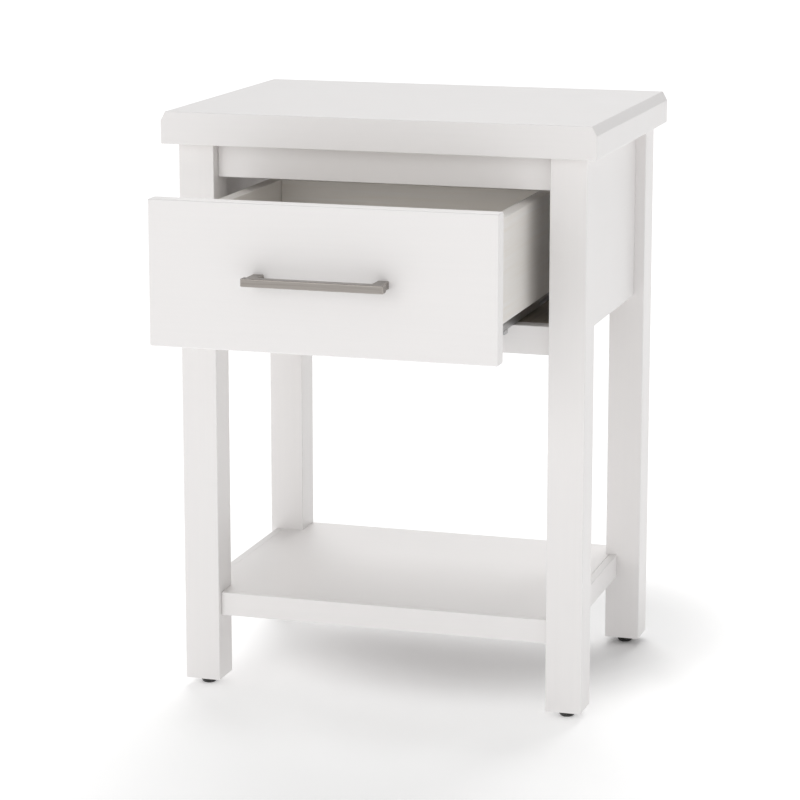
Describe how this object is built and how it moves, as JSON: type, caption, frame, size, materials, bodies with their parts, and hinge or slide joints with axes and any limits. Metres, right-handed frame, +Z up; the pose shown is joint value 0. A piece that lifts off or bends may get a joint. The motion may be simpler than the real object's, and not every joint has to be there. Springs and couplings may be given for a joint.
{
  "type": "side table with drawer",
  "caption": "Small square-legged side table with a thick top, a low shelf and a drawer with a bar handle that opens on undermount slides.",
  "frame": {"origin": "on the floor, under the middle of the bounding box of the table with its drawer standing open at rest", "axes": "+Z up, +X to the right seen from the front, the drawer opens towards -Y"},
  "size_m": [0.456, 0.533, 0.613],
  "materials": {
    "painted_carcass": "satin white paint on wood and fibreboard",
    "painted_drawer": "satin white paint on wood and fibreboard",
    "painted_box": "matt white lacquer",
    "bare_wood": "bare sanded hardwood",
    "brushed_nickel": "brushed",
    "zinc_steel": "zinc plated, satin",
    "bright_steel": "polished balls",
    "screw_steel": "plated",
    "dark_plastic": "moulded",
    "grey_plastic": "moulded"
  },
  "bodies": {
    "carcass": {"table_top": "painted_carcass", "front_top_rail": "painted_carcass", "front_lower_rail": "painted_carcass", "back_panel": "painted_carcass", "left_side_panel": "painted_carcass", "right_side_panel": "painted_carcass", "shelf_panel": "painted_carcass", "shelf_front_lipping": "painted_carcass", "shelf_back_lipping": "painted_carcass", "shelf_left_lipping": "painted_carcass", "shelf_right_lipping": "painted_carcass", "front_left_leg": "painted_carcass", "front_right_leg": "painted_carcass", "rear_left_leg": "painted_carcass", "rear_right_leg": "painted_carcass", "left_top_cleat": "bare_wood", "left_slide_bearer": "bare_wood", "left_slide_cabinet_member": "zinc_steel", "front_left_glide": "dark_plastic", "rear_left_glide": "dark_plastic", "right_top_cleat": "bare_wood", "right_slide_bearer": "bare_wood", "right_slide_cabinet_member": "zinc_steel", "front_right_glide": "dark_plastic", "rear_right_glide": "dark_plastic", "frame_dowels": "bare_wood", "shelf_dowels": "bare_wood", "top_screws": "screw_steel", "slide_screws": "screw_steel"},
    "drawer": {"drawer_front": "painted_drawer", "drawer_box_front": "painted_box", "drawer_left_side": "painted_box", "drawer_right_side": "painted_box", "drawer_back": "painted_box", "drawer_bottom": "painted_box", "handle_bar": "brushed_nickel", "left_handle_post": "brushed_nickel", "right_handle_post": "brushed_nickel", "handle_screws": "screw_steel", "drawer_front_screws": "screw_steel", "left_slide_drawer_member": "zinc_steel", "right_slide_drawer_member": "zinc_steel", "left_locking_clip": "grey_plastic", "right_locking_clip": "grey_plastic"},
    "slide_middles": {"left_slide_middle_member": "zinc_steel", "right_slide_middle_member": "zinc_steel"},
    "inner_cages": {"left_inner_ball_cage": "zinc_steel", "right_inner_ball_cage": "zinc_steel", "inner_slide_balls": "bright_steel"},
    "outer_cages": {"left_outer_ball_cage": "zinc_steel", "right_outer_ball_cage": "zinc_steel", "outer_slide_balls": "bright_steel"}
  },
  "joints": [
    {"name": "drawer_slide", "type": "slide", "parent": "carcass", "child": "drawer", "axis": [0, -1, 0], "range_m": [-0.18, 0.09]},
    {"name": "slide_middle_travel", "type": "slide", "parent": "carcass", "child": "slide_middles", "axis": [0, -1, 0], "range_m": [-0.09, 0.045]},
    {"name": "inner_cage_travel", "type": "slide", "parent": "carcass", "child": "inner_cages", "axis": [0, -1, 0], "range_m": [-0.045, 0.0225]},
    {"name": "outer_cage_travel", "type": "slide", "parent": "carcass", "child": "outer_cages", "axis": [0, -1, 0], "range_m": [-0.135, 0.0675]}
  ],
  "couplings": [
    {"joint": "slide_middle_travel", "follows": "drawer_slide", "ratio": 0.5},
    {"joint": "inner_cage_travel", "follows": "drawer_slide", "ratio": 0.25},
    {"joint": "outer_cage_travel", "follows": "drawer_slide", "ratio": 0.75}
  ]
}
